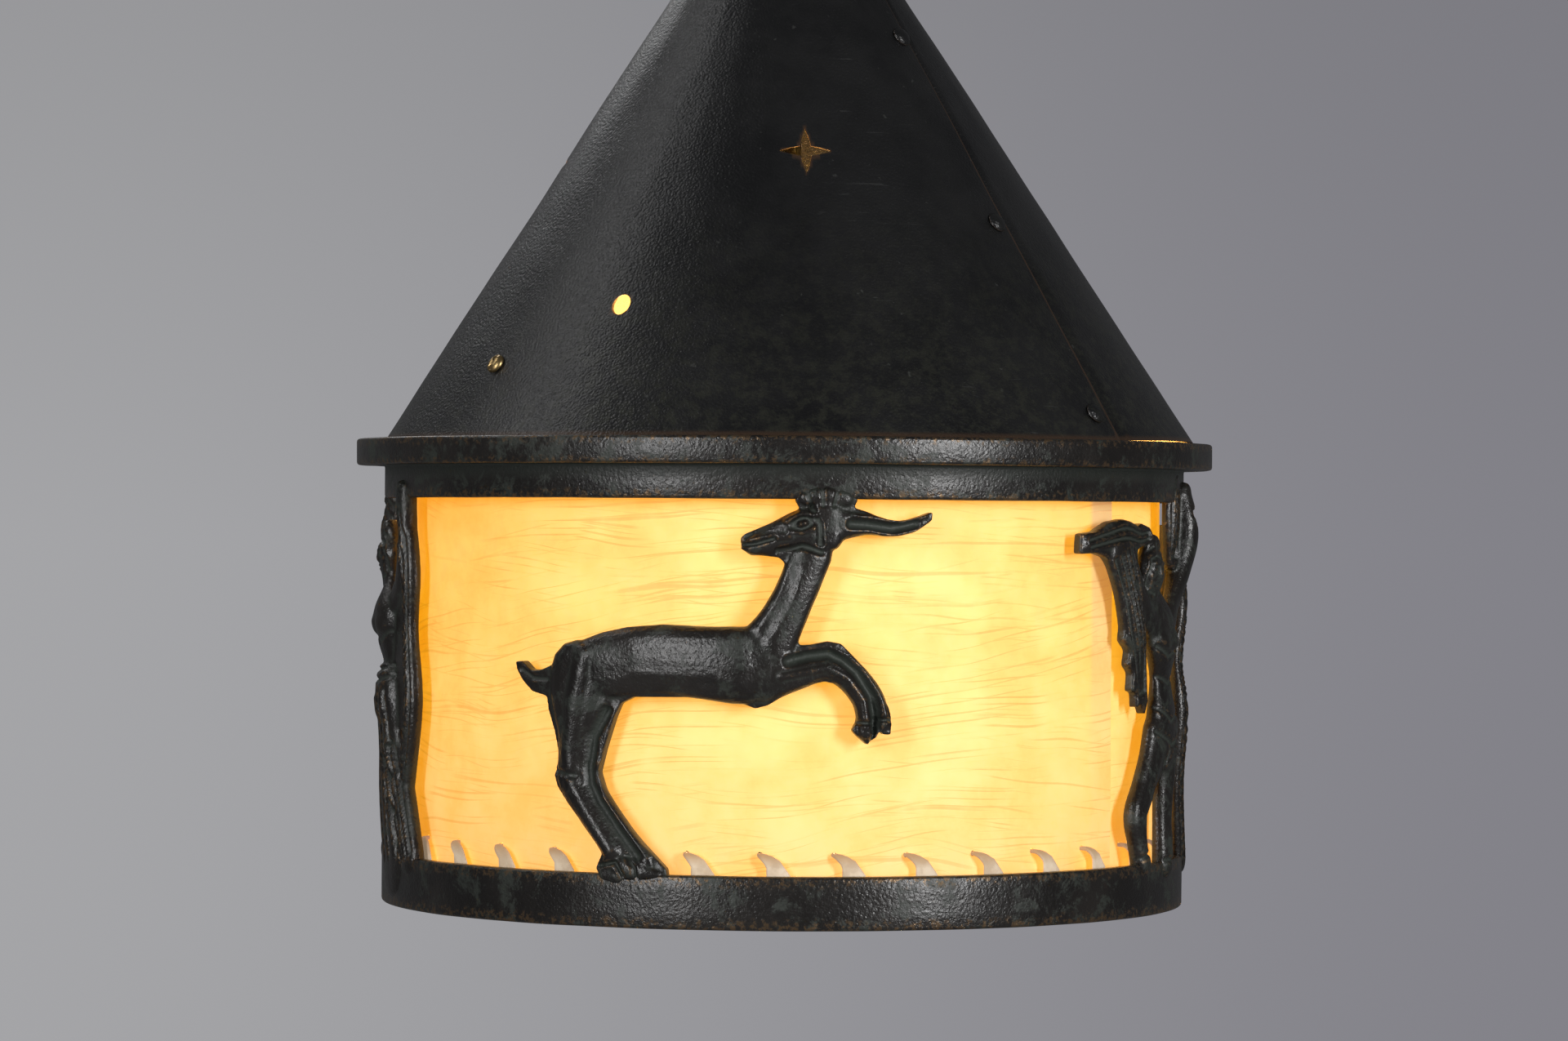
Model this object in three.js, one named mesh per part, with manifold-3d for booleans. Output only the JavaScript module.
// A hanging lantern with a conical sheet roof, two cast rings joined by cast relief figures, a laced
// hide shade and a screw-in bulb. Millimetres, +Z up, the front faces -Y, and the origin is the
// centre of the bottom ring's underside. Angles are degrees round from the front, + to the right.
import * as THREE from "three";
import { mergeVertices } from "three/addons/utils/BufferGeometryUtils.js";
import Module from "manifold-3d";

const wasm = await Module();
wasm.setup();

// Clearances
const SEAT = 0.3; // between two pieces that touch
const SHANK_PLAY = 0.4; // round a screw, rivet or pipe in its hole
const LACE_SLACK = 0.6; // between the lacing and the wire that it wraps

// Bottom ring: a casting with an inward ledge that carries the shade
const RING_RADIUS = 135;
const RING_WALL = 4;
const RING_HEIGHT = 17;
const LEDGE_REACH = 9;
const LEDGE_HEIGHT = 7;
const CAST_EDGE = 1.2; // bevel on the castings' edges

// Top ring: band and flange in one casting, carried by the figures above the bottom ring
const CAGE_OPENING = 118; // between the two rings
const BAND_INSET = 0.3; // of the band's face behind the bottom ring's
const BAND_WALL = 2.7;
const BAND_HEIGHT = 11;
const FLANGE_REACH = 9.5; // out from the band
const FLANGE_HEIGHT = 8.7;

// Shade: a rolled hide with punched, laced edges
const SHADE_PLAY = 1; // between the lacing and the bottom ring's wall
const SHADE_COVER = 1.6; // how far the hide stands above the band
const SHADE_THICKNESS = 0.9;
const SHADE_LAP_START = 51.4;
const SHADE_LAP = 6;
const LAP_EASE = 2; // degrees in which a lapped sheet comes back to its full radius
const EDGE_WIRE_RADIUS = 0.8;
const LACE_RADIUS = 0.9;
const LACE_REACH = 2.9; // from the hide's middle to the lace's middle
const STITCHES = 34;
const FIRST_STITCH = 60.44;
const HOLE_INSET = 11.7; // from the hide's edge to the middle of its lace holes
const HOLE_SIDE_PLAY = 1; // beside the lace in its hole
const HOLE_END_PLAY = 0.7; // above and below it

// Roof: a rolled cone with star and round piercings and a riveted lap
const CONE_FOOT = 4; // how far outside the top ring's bore the cone stands
const CONE_TOP_RADIUS = 14;
const CONE_HEIGHT = 189.3;
const CONE_THICKNESS = 1.2;
const CONE_LAP_START = 44;
const CONE_LAP = 8;
const STAR_AZIMUTHS = [4.7, 94.7, 184.7, 274.7];
const STAR_HEIGHT = 93; // above the cone's base
const STAR_TIP = 8.5;
const STAR_WAIST = 2.3;
const VENT_AZIMUTH = -29;
const VENT_HEIGHT = 42;
const VENT_RADIUS = 3.3;
const RIVET_AZIMUTH = 49;
const RIVET_HEIGHTS = [8.3, 71, 134];
const RIVET_HEAD_RADIUS = 3.4;
const RIVET_SHANK_RADIUS = 1.4;
const RIVET_DOME = 1.6;
const RIVET_CLOSED_RADIUS = 2.4; // of the head that is hammered flat inside
const RIVET_CLOSED_HEIGHT = 1;

// Roof fixing: a bracket brazed in the top ring at each side, with a screw and nut through the cone
const BRACKET_AZIMUTHS = [-51, 129];
const BRACKET_WIDTH = 14;
const BRACKET_THICKNESS = 1.2;
const BRACKET_DROP = 13; // down inside the top ring
const BRACKET_END = 9; // up the cone past the screw
const SCREW_HEIGHT = 23;
const SCREW_HEAD_RADIUS = 3.25;
const SCREW_SHANK_RADIUS = 1.9;
const SCREW_DOME = 2;
const SCREW_TAIL = 2; // past the nut
const NUT_WIDTH = 1.8; // from the shank out to the nut's corners
const NUT_THICKNESS = 2.6;

// Stem, cap and hanging gear
const STEM_BORE = 3.6;
const STEM_WALL = 1.4;
const STEM_SINK = 2.5; // below the loop collar's top
const WASHER_RADIUS = 17;
const WASHER_THICKNESS = 2;
const CLAMP_NUT_WIDTH = 4; // from the stem out to the nut's corners
const CLAMP_NUT_THICKNESS = 5;
const CAP_SKIRT = 9; // how far the cap reaches down the cone
const CAP_RISE = 9; // from the cone's cut top to the cap's top
const CAP_WALL = 1.6;
const CAP_SHOULDER = 0.72; // where the cap's crown turns over, as a share of its radius
const CAP_CROWN = 2; // from the shoulder up to the cap's flat
const LOOP_COLLAR_WALL = 4;
const LOOP_COLLAR_HEIGHT = 8;
const LOOP_CHAMFER = 2;
const LOOP_EYE_RADIUS = 10.5;
const LOOP_BAR_RADIUS = 2.6;
const HANGER_RADIUS = 22;
const HANGER_BAR_RADIUS = 2.5;

// Lampholder and bulb, an E27 pair, both sized from the bulb's screw cap
const HOLDER_TOP = 178; // height of the holder's crown above the origin
const HOLDER_LENGTH = 52;
const HOLDER_WALL = 1.2;
const CROWN_HEIGHT = 16;
const CROWN_SKIRT = 5; // the crown's upright part
const CROWN_SHOULDER = 0.68; // where the crown turns over, as a share of its radius
const CROWN_RISE = 3; // from the shoulder up to the crown's boss
const CROWN_BOSS_WALL = 3; // round the stem
const CROWN_BOSS_HEIGHT = 6;
const STEM_GRIP = 8; // how far the stem reaches down into the crown
const INSULATOR_WALL = 2.6;
const INSULATOR_FLOOR = 5;
const INSULATOR_INSET = 1; // of its lower edge inside the shell
const SCREW_SHELL_INSET = 3;
const SCREW_SHELL_WALL = 0.6;
const SCREW_PLAY = 0.5; // between the screw threads, and round the screw shell
const CONTACT_RADIUS = 5;
const CONTACT_THICKNESS = 1.4;
const BULB_CAP_RADIUS = 13.3;
const BULB_CAP_LENGTH = 24;
const BULB_CAP_WALL = 0.6;
const BULB_CAP_TAPER = 4; // at the cap's closed end
const BULB_CAP_CROWN = 2; // thickness of that end
const PIP_RADIUS = 4.5;
const PIP_HEIGHT = 2;
const BULB_RADIUS = 30;
const BULB_LENGTH = 82; // of the glass
const BULB_WALL = 0.8;
const NECK_IN_CAP = 12; // how far the glass reaches up into the cap
const NECK_TAPER = 23; // from the glass's top down to where the globe runs in
const NECK_FLARE = 3.5; // how much wider the neck is there
const NECK_STRAIGHT = 11;
const FILAMENT_RADIUS = 0.8;
const FILAMENT_POSTS = 4; // from the axis to each post
const FILAMENT_SPREAD = 9;
const FILAMENT_RISE = 20; // of the posts' bend above the globe's middle
const FILAMENT_SWAG = 4; // of the filament above and below the globe's middle

// Relief figures, cast on a curved back that faces the shade
const GAZELLE_LAPS = [0, 0.5]; // from the rings' edges to its lowest and highest joints
const DANCER_LAPS = [1, 3];
const SIDE_SHARE = 0.42; // of the relief that a limb's upright side takes
const RECESS_STEP = 0.25; // each limb's back lies a little further out than the one before
const RECESSES = 3; // and then they start again
const GAZELLE_AZIMUTHS = { gazelle_front: -9.5, gazelle_back: 170.5 };
const DANCER_AZIMUTHS = { dancer_right: 80.5, dancer_left: 260.5 };

// Sides on circles, from large to small
const ROUND = 48;
const TURNED = 18;
const SMALL = 10;
const DRILLED = 8;
const WIRE_SIDES = 4;
const BAR_SIDES = 6;
const HANGER_SIDES = 24;

// Radii and heights that follow from the sizes above
const BAND_RADIUS = RING_RADIUS - BAND_INSET;
const BAND_UNDERSIDE = RING_HEIGHT + CAGE_OPENING;
const BAND_TOP = BAND_UNDERSIDE + BAND_HEIGHT;
const TOP_RING_BORE = BAND_RADIUS - BAND_WALL;
const FLANGE_RADIUS = BAND_RADIUS + FLANGE_REACH;
const FLANGE_TOP = BAND_TOP + FLANGE_HEIGHT;
const FIGURE_BACK_RADIUS = RING_RADIUS - RING_WALL;
const CONE_BASE_RADIUS = TOP_RING_BORE + CONE_FOOT;
const CONE_BASE = FLANGE_TOP + SEAT;
const CONE_TOP = CONE_BASE + CONE_HEIGHT;
const CONE_SLOPE = (CONE_BASE_RADIUS - CONE_TOP_RADIUS) / CONE_HEIGHT;
const CONE_ANGLE = Math.atan(CONE_SLOPE);
const CONE_WALL = CONE_THICKNESS / Math.cos(CONE_ANGLE); // measured level, not square to the sheet
const LACE_LOW = LEDGE_HEIGHT + SEAT + LACE_RADIUS;
const WIRE_LOW = LACE_LOW + LACE_RADIUS + LACE_SLACK + EDGE_WIRE_RADIUS;
const SHADE_LOW = WIRE_LOW + EDGE_WIRE_RADIUS + SEAT;
const SHADE_HIGH = BAND_TOP + SHADE_COVER;
const WIRE_HIGH = SHADE_HIGH + SEAT + EDGE_WIRE_RADIUS;
const LACE_HIGH = WIRE_HIGH + EDGE_WIRE_RADIUS + LACE_SLACK + LACE_RADIUS;
const LACE_CIRCLE = RING_RADIUS - RING_WALL - SHADE_PLAY - LACE_RADIUS - LACE_REACH;
const SHADE_RADIUS = LACE_CIRCLE + SHADE_THICKNESS / 2;
const HOLE_WIDTH = 2 * (LACE_RADIUS + HOLE_SIDE_PLAY);
const HOLE_HEIGHT = 2 * (LACE_RADIUS + HOLE_END_PLAY);
const STEM_RADIUS = STEM_BORE + STEM_WALL;

const radians = THREE.MathUtils.degToRad;
const coneRadius = (z) => CONE_BASE_RADIUS - CONE_SLOPE * (z - CONE_BASE);

// The point at a radius, an angle round from the front and a height
function around(radius, degrees, z) {
  const a = radians(degrees);
  return new THREE.Vector3(radius * Math.sin(a), -radius * Math.cos(a), z);
}

// Materials
const finish = (color, roughness, metalness) =>
  new THREE.MeshStandardMaterial({ color, roughness, metalness });
const patinatedBronze = finish(0x1d1c19, 0.5, 0.8);
const patinatedSheet = finish(0x232321, 0.55, 0.7);
const brass = finish(0x8a6a3a, 0.4, 0.9);
const steel = finish(0x8c8c88, 0.4, 0.9);
const hide = finish(0xf2c66a, 0.7, 0);
const lace = finish(0xe6dcc4, 0.8, 0);
const porcelain = finish(0xe9e4d8, 0.3, 0);
const glass = finish(0xfff3d6, 0.1, 0);
glass.transparent = true;
glass.opacity = 0.4;

const lantern = new THREE.Group();

function addPiece(name, geometry, material, matrix) {
  const mesh = new THREE.Mesh(geometry, material);
  mesh.name = name;
  if (matrix) mesh.applyMatrix4(matrix);
  lantern.add(mesh);
  return mesh;
}

// Joining and cutting
function toSolid(geometry) {
  const bare = new THREE.BufferGeometry();
  const source = geometry.index ? geometry.toNonIndexed() : geometry;
  bare.setAttribute("position", source.getAttribute("position").clone());
  const merged = mergeVertices(bare, 1e-4);
  return new wasm.Manifold(
    new wasm.Mesh({
      numProp: 3,
      vertProperties: merged.attributes.position.array,
      triVerts: new Uint32Array(merged.index.array),
    }),
  );
}

function toGeometry(solid) {
  const mesh = solid.getMesh();
  const geometry = new THREE.BufferGeometry();
  geometry.setAttribute("position", new THREE.BufferAttribute(mesh.vertProperties, 3));
  geometry.setIndex(new THREE.BufferAttribute(mesh.triVerts, 1));
  return geometry;
}

const join = (solids) => solids.reduce((whole, next) => whole.add(next));
const cut = (solid, tools) => tools.reduce((rest, tool) => rest.subtract(tool), solid);

// A solid turned about +Z from a closed profile of [radius, height] points, anticlockwise seen
// with the radius to the right and the height up
function turned(profile, sides) {
  const closed = [...profile, profile[0]];
  return new THREE.LatheGeometry(
    closed.map(([r, z]) => new THREE.Vector2(r, z)),
    sides,
  ).rotateX(Math.PI / 2);
}

// An upright cylinder between two heights, and a hexagon nut with a round bore
const rod = (radius, bottom, height, sides) =>
  new THREE.CylinderGeometry(radius, radius, height, sides)
    .rotateX(Math.PI / 2)
    .translate(0, 0, bottom + height / 2);
const hexNut = (radius, bore, bottom, height) =>
  toGeometry(
    cut(toSolid(rod(radius, bottom, height, 6)), [
      toSolid(rod(bore, bottom - height, 3 * height, SMALL)),
    ]),
  );

// The last points of a fastener's domed head, from its rim in to the axis
const dome = (radius, seat, height) => [
  [0.75 * radius, seat + 0.7 * height],
  [0, seat + height],
];

// A round bar bent into a ring in the XY plane
const barRing = (radius, bar, sides, barSides) =>
  new THREE.TorusGeometry(radius, bar, barSides, sides);

// Two skins of points over a grid, joined at every free edge: a sheet, open where isOpen says
function sheet(columns, rows, pointAt, isOpen = () => false) {
  const positions = [];
  const face = (...corners) => {
    const [a, b, c, d] = corners.map((p) => p.toArray());
    positions.push(...a, ...b, ...c, ...a, ...c, ...d);
  };
  const isSheet = (i, j) => i >= 0 && i < columns && j >= 0 && j < rows && !isOpen(i, j);
  for (let i = 0; i < columns; i++) {
    for (let j = 0; j < rows; j++) {
      if (!isSheet(i, j)) continue;
      const corners = [[i, j], [i + 1, j], [i + 1, j + 1], [i, j + 1]];
      const neighbours = [[i, j - 1], [i + 1, j], [i, j + 1], [i - 1, j]];
      const outer = corners.map(([a, b]) => pointAt(a, b, 0));
      const inner = corners.map(([a, b]) => pointAt(a, b, 1));
      face(...outer);
      face(...inner.slice().reverse());
      neighbours.forEach(([a, b], side) => {
        if (isSheet(a, b)) return;
        const next = (side + 1) % 4;
        face(outer[next], outer[side], inner[side], inner[next]);
      });
    }
  }
  return new THREE.BufferGeometry().setAttribute(
    "position",
    new THREE.BufferAttribute(new Float32Array(positions), 3),
  );
}

// How far a rolled sheet is tucked in under its own outer end, as a share of a whole thickness
function tuck(degrees, lapStart, lap) {
  const past = degrees - (lapStart + lap);
  return THREE.MathUtils.clamp(1 - past / LAP_EASE, 0, 1);
}

// A closed body lofted through rings of points that turn the right way round the path. Each side
// is split along its shorter diagonal, so that a twisted stretch stays full.
function loft(rings) {
  const positions = [];
  const sides = rings[0].length;
  const triangle = (a, b, c) => positions.push(...a.toArray(), ...b.toArray(), ...c.toArray());
  for (let i = 0; i + 1 < rings.length; i++) {
    for (let k = 0; k < sides; k++) {
      const next = (k + 1) % sides;
      const [a, b, c, d] = [rings[i][k], rings[i][next], rings[i + 1][next], rings[i + 1][k]];
      if (a.distanceTo(c) <= b.distanceTo(d)) {
        triangle(a, b, c);
        triangle(a, c, d);
      } else {
        triangle(a, b, d);
        triangle(b, c, d);
      }
    }
  }
  for (let k = 1; k + 1 < sides; k++) {
    triangle(rings[0][0], rings[0][k + 1], rings[0][k]);
    triangle(rings.at(-1)[0], rings.at(-1)[k], rings.at(-1)[k + 1]);
  }
  return new THREE.BufferGeometry().setAttribute(
    "position",
    new THREE.BufferAttribute(new Float32Array(positions), 3),
  );
}

// A tube of even section along points; outward[i] points out of the bend there
function windingTube(points, outward, radius, sides) {
  return loft(
    points.map((point, i) => {
      const before = points[Math.max(i - 1, 0)];
      const after = points[Math.min(i + 1, points.length - 1)];
      const along = after.clone().sub(before).normalize();
      const out = outward[i].clone().projectOnPlane(along).normalize();
      const across = new THREE.Vector3().crossVectors(along, out);
      return Array.from({ length: sides }, (_, k) => {
        const a = (2 * Math.PI * k) / sides;
        return point
          .clone()
          .addScaledVector(out, radius * Math.cos(a))
          .addScaledVector(across, radius * Math.sin(a));
      });
    }),
  );
}

// Bottom ring: the outer wall stands on the floor, and the ledge reaches in under the shade
const ledgeRadius = FIGURE_BACK_RADIUS - LEDGE_REACH;
const bottomRing = turned(
  [
    [ledgeRadius, 0],
    [RING_RADIUS - CAST_EDGE, 0],
    [RING_RADIUS, CAST_EDGE],
    [RING_RADIUS, RING_HEIGHT - CAST_EDGE],
    [RING_RADIUS - CAST_EDGE, RING_HEIGHT],
    [FIGURE_BACK_RADIUS, RING_HEIGHT],
    [FIGURE_BACK_RADIUS, LEDGE_HEIGHT],
    [ledgeRadius, LEDGE_HEIGHT],
  ],
  ROUND,
);
addPiece("bottom_ring", bottomRing, patinatedBronze);

// Top ring: a plain band below a wider flange
const topRing = turned(
  [
    [TOP_RING_BORE, BAND_UNDERSIDE],
    [BAND_RADIUS - CAST_EDGE, BAND_UNDERSIDE],
    [BAND_RADIUS, BAND_UNDERSIDE + CAST_EDGE],
    [BAND_RADIUS, BAND_TOP],
    [FLANGE_RADIUS - CAST_EDGE, BAND_TOP],
    [FLANGE_RADIUS, BAND_TOP + CAST_EDGE],
    [FLANGE_RADIUS, FLANGE_TOP - CAST_EDGE],
    [FLANGE_RADIUS - CAST_EDGE, FLANGE_TOP],
    [TOP_RING_BORE, FLANGE_TOP],
  ],
  ROUND,
);
addPiece("top_ring", topRing, patinatedBronze);

// A relief limb is lofted along stations [along the ring, height, half width, relief]: its back is
// flat, its sides stand square, and its front is domed. The plan is wrapped round the cage.
const DOME = [[1, 0], [1, 1], [0.55, 2], [-0.55, 2], [-1, 1], [-1, 0]];

function wrapped(azimuth, u, height, rise) {
  const degrees = azimuth + THREE.MathUtils.radToDeg(u / RING_RADIUS);
  return around(FIGURE_BACK_RADIUS + rise, degrees, height);
}

function limb(azimuth, stations, recess) {
  const spine = new THREE.CatmullRomCurve3(
    stations.map(([u, z]) => new THREE.Vector3(u, z, 0)),
    false,
    "centripetal",
  );
  const sizes = new THREE.CatmullRomCurve3(
    stations.map(([, , halfWidth, relief]) => new THREE.Vector3(halfWidth, relief, 0)),
    false,
    "centripetal",
  );
  const steps = stations.length - 1;
  const ringAt = (share, shrink) => {
    const t = THREE.MathUtils.clamp(share, 0, 1);
    const centre = spine.getPoint(t);
    const along = spine.getTangent(t);
    const [halfWidth, relief] = sizes.getPoint(t).toArray();
    centre.addScaledVector(along, shrink.push * halfWidth);
    return DOME.map(([side, level]) => {
      const reach = side * halfWidth * shrink.width;
      const rise = [recess, relief * SIDE_SHARE, relief * shrink.height][level];
      const u = centre.x - along.y * reach;
      const z = centre.y + along.x * reach;
      return wrapped(azimuth, u, z, rise);
    });
  };
  const rings = [];
  rings.push(ringAt(0, { push: -0.75, width: 0.5, height: 0.7 }));
  for (let i = 0; i <= steps; i++) rings.push(ringAt(i / steps, { push: 0, width: 1, height: 1 }));
  rings.push(ringAt(1, { push: 0.75, width: 0.5, height: 0.7 }));
  return toSolid(loft(rings));
}

// The gazelle leaps to the left with its head turned back over its shoulder
const GAZELLE = {
  torso: [
    [-47, 80, 9, 5], [-35, 82.3, 10.5, 6.6], [-20, 84.2, 11, 7],
    [-4, 83.7, 11.4, 7], [10, 82.8, 12.4, 6.8], [17, 82.5, 10, 6],
  ],
  tail: [[-52, 78, 4.8, 4], [-59, 76.8, 3.9, 3.8], [-65, 78.2, 2.8, 3.2], [-69, 81.6, 1.5, 2.6]],
  neck: [
    [14, 84, 11, 6.2], [20, 93.5, 8, 5.8], [24.5, 102, 6.9, 5.6], [28, 110, 6.7, 5.4], [31, 118, 7, 5.2],
  ],
  head: [[36, 126.5, 5.6, 5.4], [29, 125.6, 6.6, 6], [21, 122.8, 5.6, 5.4], [13, 120.7, 3.6, 4.6]],
  crest: [[34.5, 126, 8.4, 5.4], [34.2, 132, 7, 6], [34, 135.5, 5.5, 6.2]],
  ear: [
    [40, 127.3, 5.4, 5], [48.5, 127.4, 3.6, 4.2], [57, 126, 2.6, 3.6], [63.5, 126.8, 2.3, 3.2],
    [68.7, 128.7, 1.4, 2.8],
  ],
  near_foreleg: [
    [16, 78.5, 7.6, 5.6], [27, 80.2, 4.9, 5.2], [36, 82.2, 3.7, 5], [42.5, 78.8, 3.5, 4.8],
    [47.5, 72.5, 3.1, 4.6], [48.9, 66, 2.9, 4.4], [48.6, 62, 3.2, 4.6],
  ],
  far_foreleg: [
    [20, 84, 5, 4.2], [30, 85.4, 3.7, 4], [38.6, 86.2, 3.3, 4], [46, 80.6, 3.1, 3.8],
    [52, 73.4, 2.9, 3.6], [54, 67.5, 2.9, 3.4], [54, 64, 2.8, 3.4],
  ],
  near_hind_leg: [
    [-45.5, 80, 10.6, 6.4], [-46.3, 71, 9.4, 6.4], [-47, 60, 6, 5.6], [-48.2, 50, 5.1, 5],
    [-48, 45.5, 4.8, 5], [-42.5, 36.5, 4, 4.6], [-35.5, 28, 3.8, 4.6], [-30.8, 21, 4.4, 5.4],
    [-29.6, 17, 4.8, 5.8],
  ],
  far_hind_leg: [
    [-39.5, 76, 8, 4.6], [-40.3, 66, 6.2, 4.4], [-41.6, 57, 4.6, 4], [-42.2, 49.5, 4.4, 3.8],
    [-39.5, 42, 4, 3.8], [-31, 31.5, 3.5, 3.8], [-24, 24, 3.4, 4.2], [-19.4, 18.6, 4, 5.2],
  ],
};

// Two dancers share a panel: one on tiptoe with a gathered scarf, and one in a long robe. A veil
// hangs between them from the first one's raised hand, and a ribbon from the second one's.
const DANCERS = {
  scarf_bar: [[-83, 120.5, 4.2, 4.4], [-69, 122.5, 3.8, 4.2], [-55, 124, 5, 4.6], [-44, 122, 3.4, 4]],
  scarf_fall: [[-64, 120, 8.5, 4.4], [-60, 104, 8.5, 5], [-53, 83, 6, 5], [-47, 65, 2.4, 3.8]],
  first_head: [[-39.5, 105, 5.4, 5], [-39, 113, 8, 6.4], [-38.2, 120, 5, 5]],
  first_torso: [
    [-36, 104, 4.4, 4.6], [-30, 94, 10.5, 6], [-27.5, 86, 9.6, 6.6], [-26.5, 77, 7.2, 4.6],
    [-27, 66, 9.6, 6.4], [-27.5, 57, 10.8, 7],
  ],
  scarf_arm: [[-36, 94, 4.8, 5], [-46, 102, 4, 4.8], [-54, 114, 3.5, 4.8], [-58, 122, 3.6, 4.8]],
  raised_arm: [
    [-23, 93, 5.2, 5.2], [-12, 103, 4.4, 5.6], [-4, 117, 4.2, 6.8], [-1, 130, 4.6, 8.4], [0, 138, 4.4, 8.6],
  ],
  standing_leg: [[-24, 60, 9, 6.6], [-23.5, 46, 6.6, 5.8], [-24.5, 32, 5, 5], [-24.5, 16, 5, 5.8]],
  bent_leg: [[-32, 58, 8.6, 6], [-43, 47, 6.4, 5.2], [-52, 38, 5.4, 5], [-52, 25, 4, 4.6], [-44, 17, 4.2, 5.6]],
  veil: [
    [0, 133, 4.6, 4.6], [7, 118, 5.6, 4.2], [12, 100, 4.8, 4.6], [9, 82, 6.6, 4.4], [5, 62, 5.4, 4.6],
    [9, 42, 7.4, 4.6], [14, 17, 7, 5.4],
  ],
  second_head: [[47.5, 108, 5.2, 5], [46.5, 116.5, 7.8, 6.4], [46.8, 123, 5, 5.4]],
  second_torso: [
    [50, 106, 4.6, 4.8], [53, 97, 10.4, 6.2], [54, 87, 8.4, 6.2], [55, 79, 7, 4.8], [56, 69, 10.6, 6.4],
  ],
  robe: [[56, 71, 10.2, 6.2], [57, 55, 12, 6], [60, 36, 13.6, 6.8], [63, 16, 14.6, 5.8]],
  robe_train: [[62, 52, 8, 5.2], [72, 34, 8, 5.4], [80, 17, 7, 5.4]],
  veil_arm: [[46, 98, 4.8, 5], [33, 90, 4.2, 4.8], [20, 93, 3.6, 4.8], [11, 99, 3.4, 5]],
  ribbon_arm: [[60, 99, 4.8, 5], [70, 108, 4.2, 5], [74, 121, 3.8, 5.6], [73, 137, 4.2, 6]],
  ribbon: [[74, 130, 4.4, 4.6], [81, 111, 4.6, 5], [80, 91, 4, 4.4], [84, 68, 4.6, 5], [77, 42, 4, 4.6]],
};

// What the rings take from the figures: each figure is fitted round them, 0.3 mm clear
const ringClearance = [
  turned(
    [
      [ledgeRadius, -RING_HEIGHT],
      [RING_RADIUS + SEAT, -RING_HEIGHT],
      [RING_RADIUS + SEAT, RING_HEIGHT + SEAT],
      [ledgeRadius, RING_HEIGHT + SEAT],
    ],
    ROUND,
  ),
  turned(
    [
      [ledgeRadius, BAND_UNDERSIDE - SEAT],
      [BAND_RADIUS + SEAT, BAND_UNDERSIDE - SEAT],
      [BAND_RADIUS + SEAT, BAND_TOP - SEAT],
      [FLANGE_RADIUS + SEAT, BAND_TOP - SEAT],
      [FLANGE_RADIUS + SEAT, FLANGE_TOP],
      [ledgeRadius, FLANGE_TOP],
    ],
    ROUND,
  ),
].map(toSolid);

// A figure's plan is stretched in height until its lowest and highest joints lap over the rings
function figure(limbs, azimuth, [footLap, headLap]) {
  const heights = Object.values(limbs).flatMap((stations) => stations.map(([, z]) => z));
  const [low, high] = [Math.min(...heights), Math.max(...heights)];
  const fitted = (z) =>
    THREE.MathUtils.mapLinear(z, low, high, RING_HEIGHT - footLap, BAND_UNDERSIDE + headLap);
  const solids = Object.values(limbs).map((stations, i) => {
    const fittedStations = stations.map(([u, z, ...sizes]) => [u, fitted(z), ...sizes]);
    return limb(azimuth, fittedStations, (i % RECESSES) * RECESS_STEP);
  });
  return toGeometry(cut(join(solids), ringClearance));
}

for (const [name, azimuth] of Object.entries(GAZELLE_AZIMUTHS)) {
  addPiece(name, figure(GAZELLE, azimuth, GAZELLE_LAPS), patinatedBronze);
}
for (const [name, azimuth] of Object.entries(DANCER_AZIMUTHS)) {
  addPiece(name, figure(DANCERS, azimuth, DANCER_LAPS), patinatedBronze);
}

// Shade: the hide's columns stop at both sides of each lace hole, so the holes are cells left open
const PITCH = 360 / STITCHES;
const HOLE_HALF = THREE.MathUtils.radToDeg(HOLE_WIDTH / 2 / SHADE_RADIUS);
const holeColumns = new Set();
const shadeEnd = SHADE_LAP_START + 360 + SHADE_LAP;
const shadeColumns = [
  SHADE_LAP_START,
  SHADE_LAP_START + SHADE_LAP,
  SHADE_LAP_START + SHADE_LAP + LAP_EASE,
];
for (let k = 0; k < STITCHES; k++) {
  const middle = FIRST_STITCH + k * PITCH;
  holeColumns.add(shadeColumns.length);
  shadeColumns.push(middle - HOLE_HALF, middle + HOLE_HALF);
}
shadeColumns.push(shadeEnd - SHADE_LAP, shadeEnd);
const shadeRows = [
  SHADE_LOW,
  SHADE_LOW + HOLE_INSET - HOLE_HEIGHT / 2,
  SHADE_LOW + HOLE_INSET + HOLE_HEIGHT / 2,
  SHADE_HIGH - HOLE_INSET - HOLE_HEIGHT / 2,
  SHADE_HIGH - HOLE_INSET + HOLE_HEIGHT / 2,
  SHADE_HIGH,
];
const shadeSheet = sheet(
  shadeColumns.length - 1,
  shadeRows.length - 1,
  (i, j, side) => {
    const degrees = shadeColumns[i];
    const inset = tuck(degrees, SHADE_LAP_START, SHADE_LAP) * (SHADE_THICKNESS + SEAT);
    return around(SHADE_RADIUS - inset - side * SHADE_THICKNESS, degrees, shadeRows[j]);
  },
  (i, j) => holeColumns.has(i) && (j === 1 || j === 3),
);
addPiece("shade_skin", shadeSheet, hide);

// Edge wires keep the hide round, and the lacing binds them to it
const edgeWire = (z) => barRing(LACE_CIRCLE, EDGE_WIRE_RADIUS, ROUND, WIRE_SIDES).translate(0, 0, z);
addPiece("shade_wire_bottom", edgeWire(WIRE_LOW), steel);
addPiece("shade_wire_top", edgeWire(WIRE_HIGH), steel);

// Lacing: one lace whipped round each edge. It goes out through a hole, slants down over the wire
// and the edge, comes up inside and goes out through the next hole. Six steps make one stitch.
const STEPS_PER_STITCH = 6;
const LACE_SIDES = 4;
const SQUARENESS = 0.35; // 1 makes each stitch an ellipse, and less makes its corners fuller
const DWELL = 1.3; // millimetres of slant saved for the strands, so that a hole is crossed straight

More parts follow.
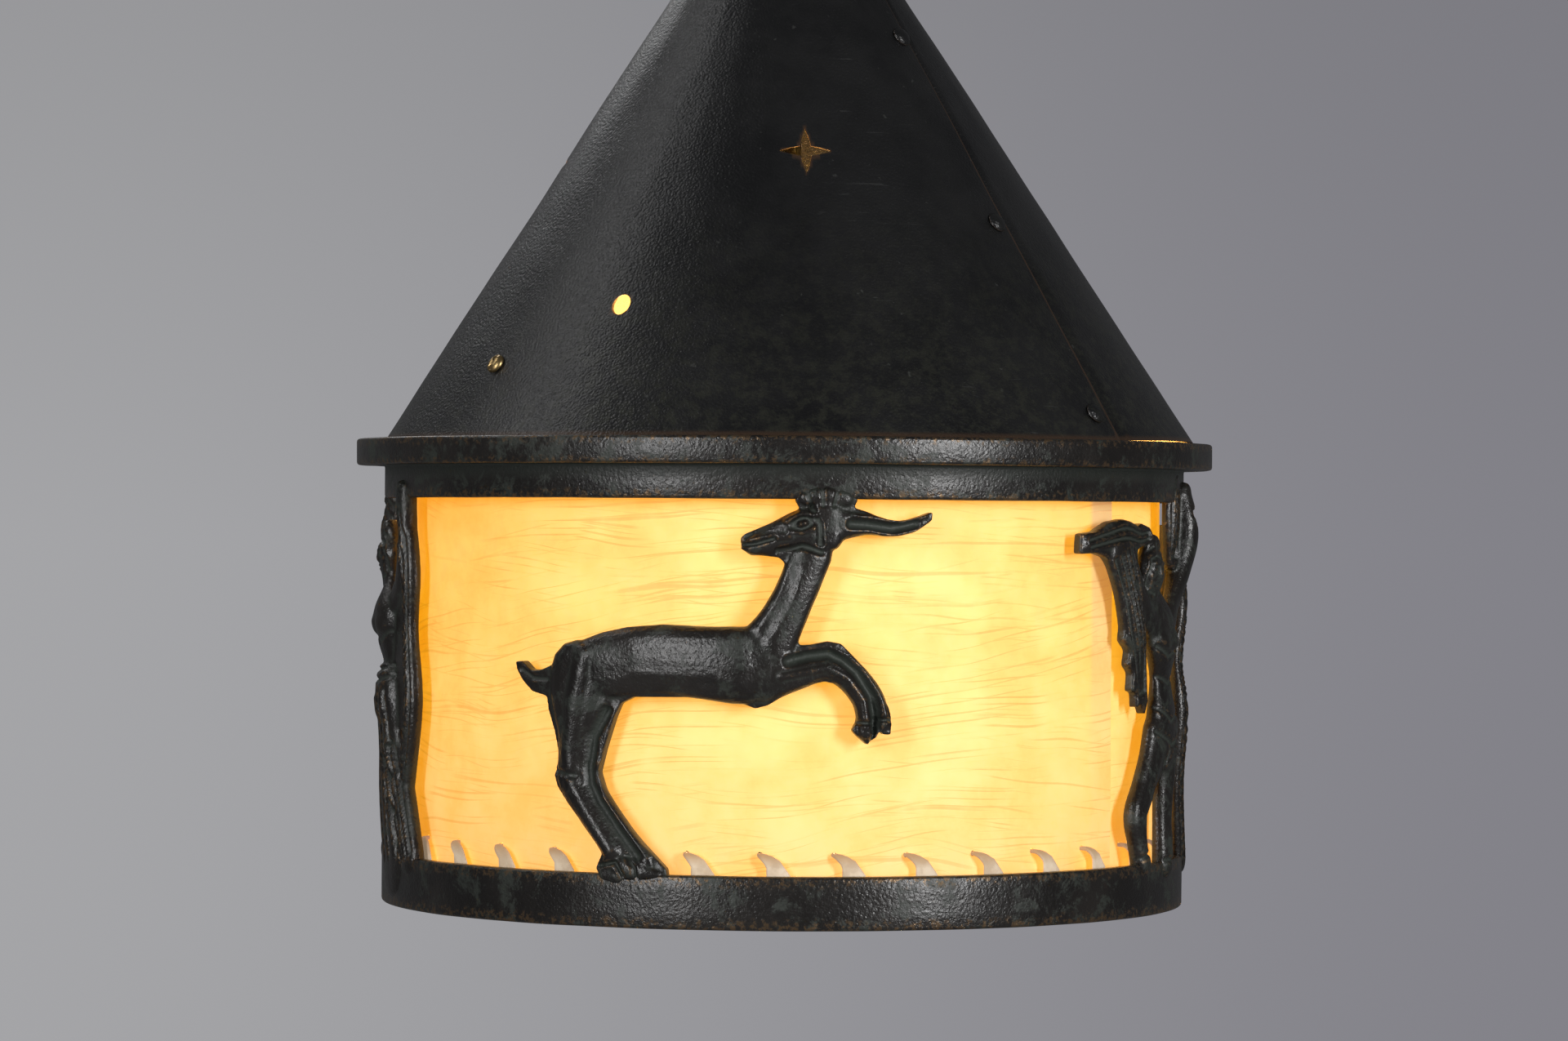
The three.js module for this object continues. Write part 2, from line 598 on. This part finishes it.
function lacing(edgeHeight, holeHeight) {
  const middle = (edgeHeight + holeHeight) / 2;
  const reach = (holeHeight - edgeHeight) / 2;
  const full = (x) => Math.sign(x) * Math.abs(x) ** SQUARENESS;
  const points = [];
  const outward = [];
  const place = (turn, radius, height) => {
    const round = turn / STEPS_PER_STITCH;
    const saved = DWELL * Math.sin(4 * Math.PI * round);
    const degrees = FIRST_STITCH + PITCH * round - THREE.MathUtils.radToDeg(saved / LACE_CIRCLE);
    points.push(around(radius, degrees, height));
    const a = Math.PI / 2 - 2 * Math.PI * round;
    outward.push(around(Math.cos(a), degrees, Math.sign(reach) * Math.sin(a)));
  };
  const last = STEPS_PER_STITCH * STITCHES - 2; // two steps short, where the first tail lies
  const tailEnd = 2 * LACE_RADIUS * Math.sign(reach);
  place(-1, LACE_CIRCLE - LACE_REACH, middle + reach * Math.SQRT1_2 - tailEnd);
  for (let turn = -1; turn <= last; turn++) {
    const a = Math.PI / 2 - (2 * Math.PI * turn) / STEPS_PER_STITCH;
    place(turn, LACE_CIRCLE + LACE_REACH * full(Math.cos(a)), middle + reach * full(Math.sin(a)));
  }
  place(last, LACE_CIRCLE - LACE_REACH, middle + tailEnd);
  return {
    points,
    geometry: windingTube(points, outward, LACE_RADIUS, LACE_SIDES),
  };
}

// The least gap that a lace leaves between two of its own strands
function leastGap(points) {
  const apart = 3; // steps, past the bend between one strand and the next
  let least = Infinity;
  for (let i = 0; i < points.length; i++) {
    for (let j = i + apart; j < Math.min(points.length, i + 3 * STEPS_PER_STITCH); j++) {
      least = Math.min(least, points[i].distanceTo(points[j]));
    }
  }
  return least - 2 * LACE_RADIUS;
}

const bottomLacing = lacing(LACE_LOW, SHADE_LOW + HOLE_INSET);
const topLacing = lacing(LACE_HIGH, SHADE_HIGH - HOLE_INSET);
console.log("least gap in the bottom lacing, mm:", leastGap(bottomLacing.points).toFixed(2));
console.log("least gap in the top lacing, mm:", leastGap(topLacing.points).toFixed(2));
addPiece("shade_lacing_bottom", bottomLacing.geometry, lace);
addPiece("shade_lacing_top", topLacing.geometry, lace);

// A place on the cone's outer face, with +Z out of the sheet and +Y up the slope
function onCone(degrees, height) {
  const z = CONE_BASE + height;
  const out = around(Math.cos(CONE_ANGLE), degrees, Math.sin(CONE_ANGLE));
  const up = around(-Math.sin(CONE_ANGLE), degrees, Math.cos(CONE_ANGLE));
  const side = new THREE.Vector3().crossVectors(up, out);
  return new THREE.Matrix4().makeBasis(side, up, out).setPosition(around(coneRadius(z), degrees, z));
}

const THROUGH = 12; // length of a cutter each way from the cone's outer face

function drill(degrees, height, radius) {
  return toSolid(rod(radius, -THROUGH, 2 * THROUGH, DRILLED).applyMatrix4(onCone(degrees, height)));
}

function starCutter(degrees) {
  const star = new THREE.Shape();
  star.moveTo(STAR_TIP, 0);
  for (let k = 0; k < 4; k++) {
    const dip = (k + 0.5) * (Math.PI / 2);
    const tip = (k + 1) * (Math.PI / 2);
    star.quadraticCurveTo(
      STAR_WAIST * Math.cos(dip),
      STAR_WAIST * Math.sin(dip),
      STAR_TIP * Math.cos(tip),
      STAR_TIP * Math.sin(tip),
    );
  }
  const prism = new THREE.ExtrudeGeometry(star, {
    depth: 2 * THROUGH,
    bevelEnabled: false,
    curveSegments: 2,
  }).translate(0, 0, -THROUGH);
  return toSolid(prism.applyMatrix4(onCone(degrees, STAR_HEIGHT)));
}

// Roof: one sheet rolled to a cone, its tucked end under the riveted lap
const roofColumns = [CONE_LAP_START, CONE_LAP_START + CONE_LAP, CONE_LAP_START + CONE_LAP + LAP_EASE];
for (let k = 1; k < ROUND - 2; k++) {
  const span = 360 - CONE_LAP - LAP_EASE;
  roofColumns.push(CONE_LAP_START + CONE_LAP + LAP_EASE + (k * span) / (ROUND - 2));
}
roofColumns.push(CONE_LAP_START + 360, CONE_LAP_START + 360 + CONE_LAP);
const roofSheet = sheet(roofColumns.length - 1, 1, (i, j, side) => {
  const degrees = roofColumns[i];
  const z = j ? CONE_TOP : CONE_BASE;
  const inset = tuck(degrees, CONE_LAP_START, CONE_LAP) * (CONE_WALL + SEAT);
  return around(coneRadius(z) - inset - side * CONE_WALL, degrees, z);
});
const roofCone = cut(toSolid(roofSheet), [
  ...STAR_AZIMUTHS.map(starCutter),
  drill(VENT_AZIMUTH, VENT_HEIGHT, VENT_RADIUS),
  ...RIVET_HEIGHTS.map((height) => drill(RIVET_AZIMUTH, height, RIVET_SHANK_RADIUS + SHANK_PLAY)),
  ...BRACKET_AZIMUTHS.map((a) => drill(a, SCREW_HEIGHT, SCREW_SHANK_RADIUS + SHANK_PLAY)),
]);
addPiece("roof_cone", toGeometry(roofCone), patinatedSheet);

// Seam rivets: domed outside, closed flat inside
const rivetGrip = 2 * CONE_THICKNESS + 3 * SEAT;
const rivet = turned(
  [
    [0, -rivetGrip - RIVET_CLOSED_HEIGHT],
    [RIVET_CLOSED_RADIUS, -rivetGrip - RIVET_CLOSED_HEIGHT],
    [RIVET_CLOSED_RADIUS, -rivetGrip],
    [RIVET_SHANK_RADIUS, -rivetGrip],
    [RIVET_SHANK_RADIUS, SEAT],
    [RIVET_HEAD_RADIUS, SEAT],
    ...dome(RIVET_HEAD_RADIUS, SEAT, RIVET_DOME),
  ],
  SMALL,
);
RIVET_HEIGHTS.forEach((height, i) => {
  addPiece("seam_rivet_" + (i + 1), rivet, patinatedSheet, onCone(RIVET_AZIMUTH, height));
});

// Roof brackets: a strip bent to lie in the ring's bore and then up the cone's inner face
const bracketTop = CONE_BASE + SCREW_HEIGHT + BRACKET_END;
const bracketFlat = Math.sqrt(TOP_RING_BORE ** 2 - (BRACKET_WIDTH / 2) ** 2) - 2 * SEAT;
const stripSag = BRACKET_WIDTH ** 2 / (8 * coneRadius(bracketTop)); // the cone's curve across the strip
const slopeInset = CONE_WALL + 2 * SEAT + stripSag;
const bendZ = CONE_BASE + (CONE_BASE_RADIUS - slopeInset - bracketFlat) / CONE_SLOPE;
const bracketShape = new THREE.Shape(
  [
    [bracketFlat, FLANGE_TOP - BRACKET_DROP],
    [bracketFlat, bendZ],
    [coneRadius(bracketTop) - slopeInset, bracketTop],
    [
      coneRadius(bracketTop) - slopeInset - BRACKET_THICKNESS * Math.cos(CONE_ANGLE),
      bracketTop - BRACKET_THICKNESS * Math.sin(CONE_ANGLE),
    ],
    [bracketFlat - BRACKET_THICKNESS, bendZ - BRACKET_THICKNESS * Math.tan(CONE_ANGLE / 2)],
    [bracketFlat - BRACKET_THICKNESS, FLANGE_TOP - BRACKET_DROP],
  ].map(([r, z]) => new THREE.Vector2(r, z)),
);
const SIDE_NAMES = ["left", "right"];
BRACKET_AZIMUTHS.forEach((azimuth, i) => {
  const strip = new THREE.ExtrudeGeometry(bracketShape, { depth: BRACKET_WIDTH, bevelEnabled: false })
    .translate(0, 0, -BRACKET_WIDTH / 2)
    .rotateX(Math.PI / 2)
    .rotateZ(radians(azimuth - 90));
  const bored = cut(toSolid(strip), [drill(azimuth, SCREW_HEIGHT, SCREW_SHANK_RADIUS + SHANK_PLAY)]);
  addPiece("roof_bracket_" + SIDE_NAMES[i], toGeometry(bored), steel);
});

// Roof screws and nuts
const screwGrip = CONE_THICKNESS + 4 * SEAT + BRACKET_THICKNESS;
const screwLength = screwGrip + NUT_THICKNESS + SCREW_TAIL;
const screw = turned(
  [
    [0, -screwLength],
    [SCREW_SHANK_RADIUS, -screwLength],
    [SCREW_SHANK_RADIUS, SEAT],
    [SCREW_HEAD_RADIUS, SEAT],
    ...dome(SCREW_HEAD_RADIUS, SEAT, SCREW_DOME),
  ],
  SMALL,
);
const nut = hexNut(
  SCREW_SHANK_RADIUS + NUT_WIDTH,
  SCREW_SHANK_RADIUS + SHANK_PLAY,
  -screwGrip - NUT_THICKNESS,
  NUT_THICKNESS,
);
BRACKET_AZIMUTHS.forEach((azimuth, i) => {
  addPiece("roof_screw_" + SIDE_NAMES[i], screw, brass, onCone(azimuth, SCREW_HEIGHT));
  addPiece("roof_nut_" + SIDE_NAMES[i], nut, brass, onCone(azimuth, SCREW_HEIGHT));
});

// Cap: a turned cover on the cone's cut top, bored for the stem
const capSkirtZ = CONE_TOP - CAP_SKIRT;
const capTop = CONE_TOP + CAP_RISE;
const capInner = (z) => coneRadius(z) + SEAT / Math.cos(CONE_ANGLE);
const collarRadius = STEM_RADIUS + LOOP_COLLAR_WALL;
const cap = turned(
  [
    [capInner(capSkirtZ), capSkirtZ],
    [capInner(capSkirtZ) + CAP_WALL, capSkirtZ],
    [capInner(CONE_TOP) + CAP_WALL, CONE_TOP + SEAT],
    [CAP_SHOULDER * (capInner(CONE_TOP) + CAP_WALL), capTop - CAP_CROWN],
    [collarRadius, capTop],
    [STEM_RADIUS + SHANK_PLAY, capTop],
    [STEM_RADIUS + SHANK_PLAY, CONE_TOP + SEAT],
    [capInner(CONE_TOP + SEAT), CONE_TOP + SEAT],
  ],
  TURNED,
);
addPiece("roof_cap", cap, patinatedBronze);

// Clamp washer and nut: they pull the cone up against the cap from inside
const washerSeatRadius = WASHER_RADIUS + 2 * CONE_WALL + 3 * SEAT; // of the cone, past its tucked lap
const washerTop = CONE_BASE + (CONE_BASE_RADIUS - washerSeatRadius) / CONE_SLOPE;
const washer = turned(
  [
    [STEM_RADIUS + SHANK_PLAY, washerTop - WASHER_THICKNESS],
    [WASHER_RADIUS, washerTop - WASHER_THICKNESS],
    [WASHER_RADIUS, washerTop],
    [STEM_RADIUS + SHANK_PLAY, washerTop],
  ],
  TURNED,
);
addPiece("clamp_washer", washer, steel);
const clampNutBottom = washerTop - WASHER_THICKNESS - SEAT - CLAMP_NUT_THICKNESS;
const clampNut = hexNut(
  STEM_RADIUS + CLAMP_NUT_WIDTH,
  STEM_RADIUS + SHANK_PLAY,
  clampNutBottom,
  CLAMP_NUT_THICKNESS,
);
addPiece("clamp_nut", clampNut, steel);

// Screw loop: a collar tapped for the stem with an eye on top; the wire leaves between them
const loopBottom = capTop + SEAT;
const collarTop = loopBottom + LOOP_COLLAR_HEIGHT;
const eyeZ = collarTop + LOOP_EYE_RADIUS - LOOP_BAR_RADIUS;
const collar = turned(
  [
    [STEM_RADIUS + SEAT, loopBottom],
    [collarRadius, loopBottom],
    [collarRadius, collarTop - LOOP_CHAMFER],
    [collarRadius - LOOP_CHAMFER, collarTop],
    [STEM_RADIUS + SEAT, collarTop],
  ],
  TURNED,
);
const eye = barRing(LOOP_EYE_RADIUS, LOOP_BAR_RADIUS, TURNED, BAR_SIDES)
  .rotateX(Math.PI / 2)
  .translate(0, 0, eyeZ);
const stemWay = toSolid(
  rod(STEM_RADIUS + SEAT, loopBottom - CAP_RISE, CAP_RISE + LOOP_COLLAR_HEIGHT + SEAT, TURNED),
);
addPiece("top_loop", toGeometry(cut(join([toSolid(collar), toSolid(eye)]), [stemWay])), patinatedBronze);

// Hanging ring: it hangs the lantern from the eye's crown and swings sideways in it
const pivotZ = eyeZ + LOOP_EYE_RADIUS - LOOP_BAR_RADIUS - SEAT - HANGER_BAR_RADIUS;
const hanger = barRing(HANGER_RADIUS, HANGER_BAR_RADIUS, HANGER_SIDES, BAR_SIDES)
  .rotateY(Math.PI / 2)
  .translate(0, 0, pivotZ + HANGER_RADIUS);
addPiece("hanging_ring", hanger, patinatedBronze);

// Stem: the wireway pipe that carries everything from the loop down to the lampholder
const stemTop = collarTop - STEM_SINK;
const stemBottom = HOLDER_TOP - STEM_GRIP;
const stem = turned(
  [
    [STEM_BORE, stemBottom],
    [STEM_RADIUS, stemBottom],
    [STEM_RADIUS, stemTop],
    [STEM_BORE, stemTop],
  ],
  TURNED,
);
addPiece("stem_tube", stem, brass);

// Lampholder: crown, shell, insulator, contact spring plate and screw shell, round the bulb's cap
const screwShellRadius = BULB_CAP_RADIUS + SCREW_PLAY + SCREW_SHELL_WALL;
const insulatorBore = screwShellRadius + SCREW_PLAY;
const insulatorOuter = insulatorBore + INSULATOR_WALL;
const holderBore = insulatorOuter + SEAT;
const holderRadius = holderBore + HOLDER_WALL;
const crownBottom = HOLDER_TOP - CROWN_HEIGHT;
const holderBottom = HOLDER_TOP - HOLDER_LENGTH;
const crownShoulder = CROWN_SHOULDER * holderRadius;
const crown = turned(
  [
    [holderBore, crownBottom],
    [holderRadius, crownBottom],
    [holderRadius, crownBottom + CROWN_SKIRT],
    [crownShoulder, HOLDER_TOP - CROWN_RISE],
    [STEM_RADIUS + SHANK_PLAY + CROWN_BOSS_WALL, HOLDER_TOP],
    [STEM_RADIUS + SHANK_PLAY, HOLDER_TOP],
    [STEM_RADIUS + SHANK_PLAY, HOLDER_TOP - CROWN_BOSS_HEIGHT],
    [crownShoulder - HOLDER_WALL, HOLDER_TOP - CROWN_BOSS_HEIGHT],
    [holderBore, crownBottom + CROWN_SKIRT - HOLDER_WALL],
  ],
  TURNED,
);
addPiece("lampholder_cap", crown, brass);
const shellTop = crownBottom - SEAT;
const shell = turned(
  [
    [holderBore, holderBottom],
    [holderRadius, holderBottom],
    [holderRadius, shellTop],
    [holderBore, shellTop],
  ],
  TURNED,
);
addPiece("lampholder_shell", shell, brass);
const insulator = turned(
  [
    [insulatorBore, holderBottom + INSULATOR_INSET],
    [insulatorOuter, holderBottom + INSULATOR_INSET],
    [insulatorOuter, shellTop],
    [0, shellTop],
    [0, shellTop - INSULATOR_FLOOR],
    [insulatorBore, shellTop - INSULATOR_FLOOR],
  ],
  TURNED,
);
addPiece("lampholder_insulator", insulator, porcelain);
const contactTop = shellTop - INSULATOR_FLOOR - SEAT;
const contact = turned(
  [
    [0, contactTop - CONTACT_THICKNESS],
    [CONTACT_RADIUS, contactTop - CONTACT_THICKNESS],
    [CONTACT_RADIUS, contactTop],
    [0, contactTop],
  ],
  SMALL,
);
addPiece("lampholder_contact", contact, brass);
const screwShell = turned(
  [
    [screwShellRadius - SCREW_SHELL_WALL, holderBottom + SCREW_SHELL_INSET],
    [screwShellRadius, holderBottom + SCREW_SHELL_INSET],
    [screwShellRadius, contactTop],
    [screwShellRadius - SCREW_SHELL_WALL, contactTop],
  ],
  TURNED,
);
addPiece("lampholder_screw_shell", screwShell, brass);

// Bulb: contact pip, screw cap, glass and filament
const pipTop = contactTop - CONTACT_THICKNESS - SEAT;
const bulbCapTop = pipTop - PIP_HEIGHT - SEAT;
const bulbCapBottom = bulbCapTop - BULB_CAP_LENGTH;
const pip = turned(
  [
    [0, pipTop - PIP_HEIGHT],
    [PIP_RADIUS, pipTop - PIP_HEIGHT],
    [0.7 * PIP_RADIUS, pipTop],
    [0, pipTop],
  ],
  SMALL,
);
addPiece("bulb_contact", pip, brass);
const bulbCap = turned(
  [
    [BULB_CAP_RADIUS - BULB_CAP_WALL, bulbCapBottom],
    [BULB_CAP_RADIUS, bulbCapBottom],
    [BULB_CAP_RADIUS, bulbCapTop - BULB_CAP_TAPER],
    [PIP_RADIUS + BULB_CAP_WALL, bulbCapTop],
    [0, bulbCapTop],
    [0, bulbCapTop - BULB_CAP_CROWN],
    [PIP_RADIUS, bulbCapTop - BULB_CAP_CROWN],
    [BULB_CAP_RADIUS - BULB_CAP_WALL, bulbCapTop - BULB_CAP_TAPER - BULB_CAP_WALL],
  ],
  TURNED,
);
addPiece("bulb_cap", bulbCap, brass);
const glassTop = bulbCapBottom + NECK_IN_CAP;
const neckRadius = BULB_CAP_RADIUS - BULB_CAP_WALL - 2 * SEAT;
const glassBottom = glassTop - BULB_LENGTH;
const globeZ = glassBottom + BULB_RADIUS;
const GLOBE_ARCS = 5;
const GLOBE_SPREAD = 125; // degrees of the globe's arc from its lowest point up to the neck's taper
function bulbProfile(inset) {
  const points = [];
  for (let k = 0; k <= GLOBE_ARCS; k++) {
    const a = radians((GLOBE_SPREAD * k) / GLOBE_ARCS);
    points.push([(BULB_RADIUS - inset) * Math.sin(a), globeZ - (BULB_RADIUS - inset) * Math.cos(a)]);
  }
  const neck = neckRadius - inset;
  points.push([neck + NECK_FLARE, glassTop - NECK_TAPER], [neck, glassTop - NECK_STRAIGHT], [neck, glassTop]);
  return points;
}
const bulbGlass = turned([...bulbProfile(0), ...bulbProfile(BULB_WALL).reverse()], TURNED);
addPiece("bulb_glass", bulbGlass, glass);
const filamentTop = bulbCapTop - BULB_CAP_CROWN - SEAT;
const filamentPath = new THREE.CatmullRomCurve3(
  [
    [-FILAMENT_POSTS, filamentTop],
    [-FILAMENT_POSTS, globeZ + FILAMENT_RISE],
    [-FILAMENT_SPREAD, globeZ + FILAMENT_SWAG],
    [0, globeZ - FILAMENT_SWAG],
    [FILAMENT_SPREAD, globeZ + FILAMENT_SWAG],
    [FILAMENT_POSTS, globeZ + FILAMENT_RISE],
    [FILAMENT_POSTS, filamentTop],
  ].map(([x, z]) => new THREE.Vector3(x, 0, z)),
);
const filamentSection = new THREE.Shape(
  Array.from({ length: 6 }, (_, k) => {
    const a = (k * Math.PI) / 3;
    return new THREE.Vector2(FILAMENT_RADIUS * Math.cos(a), FILAMENT_RADIUS * Math.sin(a));
  }),
);
const filament = new THREE.ExtrudeGeometry(filamentSection, {
  steps: 12,
  extrudePath: filamentPath,
  bevelEnabled: false,
});
addPiece("bulb_filament", filament, steel);

export default lantern;
